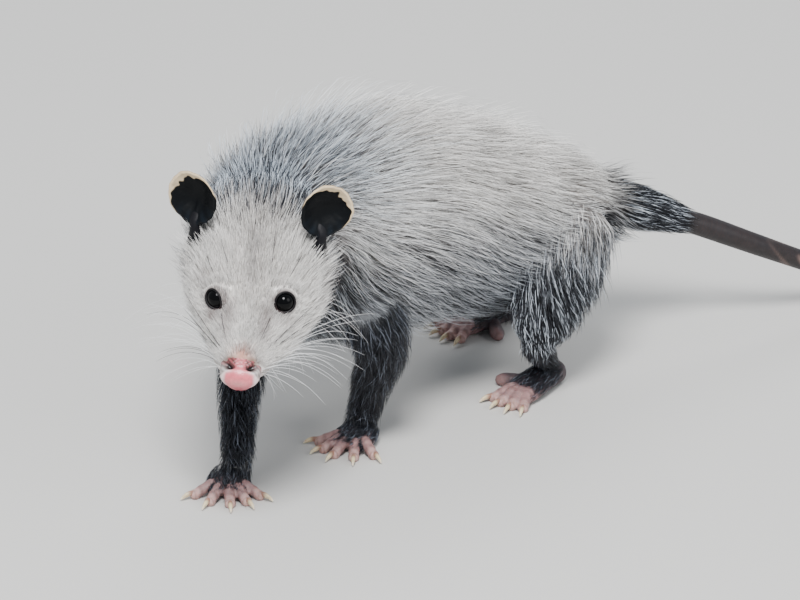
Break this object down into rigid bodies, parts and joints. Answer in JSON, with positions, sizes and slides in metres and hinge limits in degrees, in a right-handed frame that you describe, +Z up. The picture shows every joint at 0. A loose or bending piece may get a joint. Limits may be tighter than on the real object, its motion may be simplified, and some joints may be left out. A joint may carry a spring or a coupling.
{
  "type": "opossum",
  "caption": "Life-size still model of a Virginia opossum walking with its head low and turned, long coarse coat, cupped ears, clawed feet and a bare tail that trails to the floor.",
  "frame": {"origin": "under the middle of the whole animal, at the level of its soles", "axes": "+X is the animal's left, -Y is the way it walks, +Z is up"},
  "size_m": [0.1984, 0.6446, 0.2166],
  "materials": {
    "face_fur": "short creamy white fur that lies flat",
    "coat": "long coarse grey and white guard hair over a dark undercoat",
    "dark_fur": "glossy black fur with sparse pale hairs",
    "nose_skin": "moist pink bare skin",
    "ear_skin": "thin bare blue-black skin with a pale rim",
    "eye": "wet glossy black",
    "tail_skin": "bare ringed scaly skin, black near the root, pinkish towards the tip",
    "paw_skin": "bare pinkish wrinkled skin",
    "claw": "pale translucent horn"
  },
  "bodies": {
    "root": {"head": "face_fur", "lower_jaw": "face_fur", "nose": "nose_skin", "eye_left": "eye", "eye_right": "eye", "ear_left": "ear_skin", "ear_right": "ear_skin", "neck": "coat", "torso": "coat", "rump": "coat", "tail_1": "dark_fur", "tail_2": "tail_skin", "tail_3": "tail_skin", "tail_4": "tail_skin", "foreleg_left": "dark_fur", "foreleg_right": "dark_fur", "front_foot_left": "paw_skin", "front_foot_right": "paw_skin", "thigh_left": "dark_fur", "thigh_right": "dark_fur", "shank_left": "dark_fur", "shank_right": "dark_fur", "hind_foot_left": "paw_skin", "hind_foot_right": "paw_skin", "claw_front_left_1": "claw", "claw_front_left_2": "claw", "claw_front_left_3": "claw", "claw_front_left_4": "claw", "claw_front_left_5": "claw", "claw_front_right_1": "claw", "claw_front_right_2": "claw", "claw_front_right_3": "claw", "claw_front_right_4": "claw", "claw_front_right_5": "claw", "claw_hind_left_1": "claw", "claw_hind_left_2": "claw", "claw_hind_left_3": "claw", "claw_hind_left_4": "claw", "claw_hind_right_1": "claw", "claw_hind_right_2": "claw", "claw_hind_right_3": "claw", "claw_hind_right_4": "claw"}
  },
  "joints": []
}
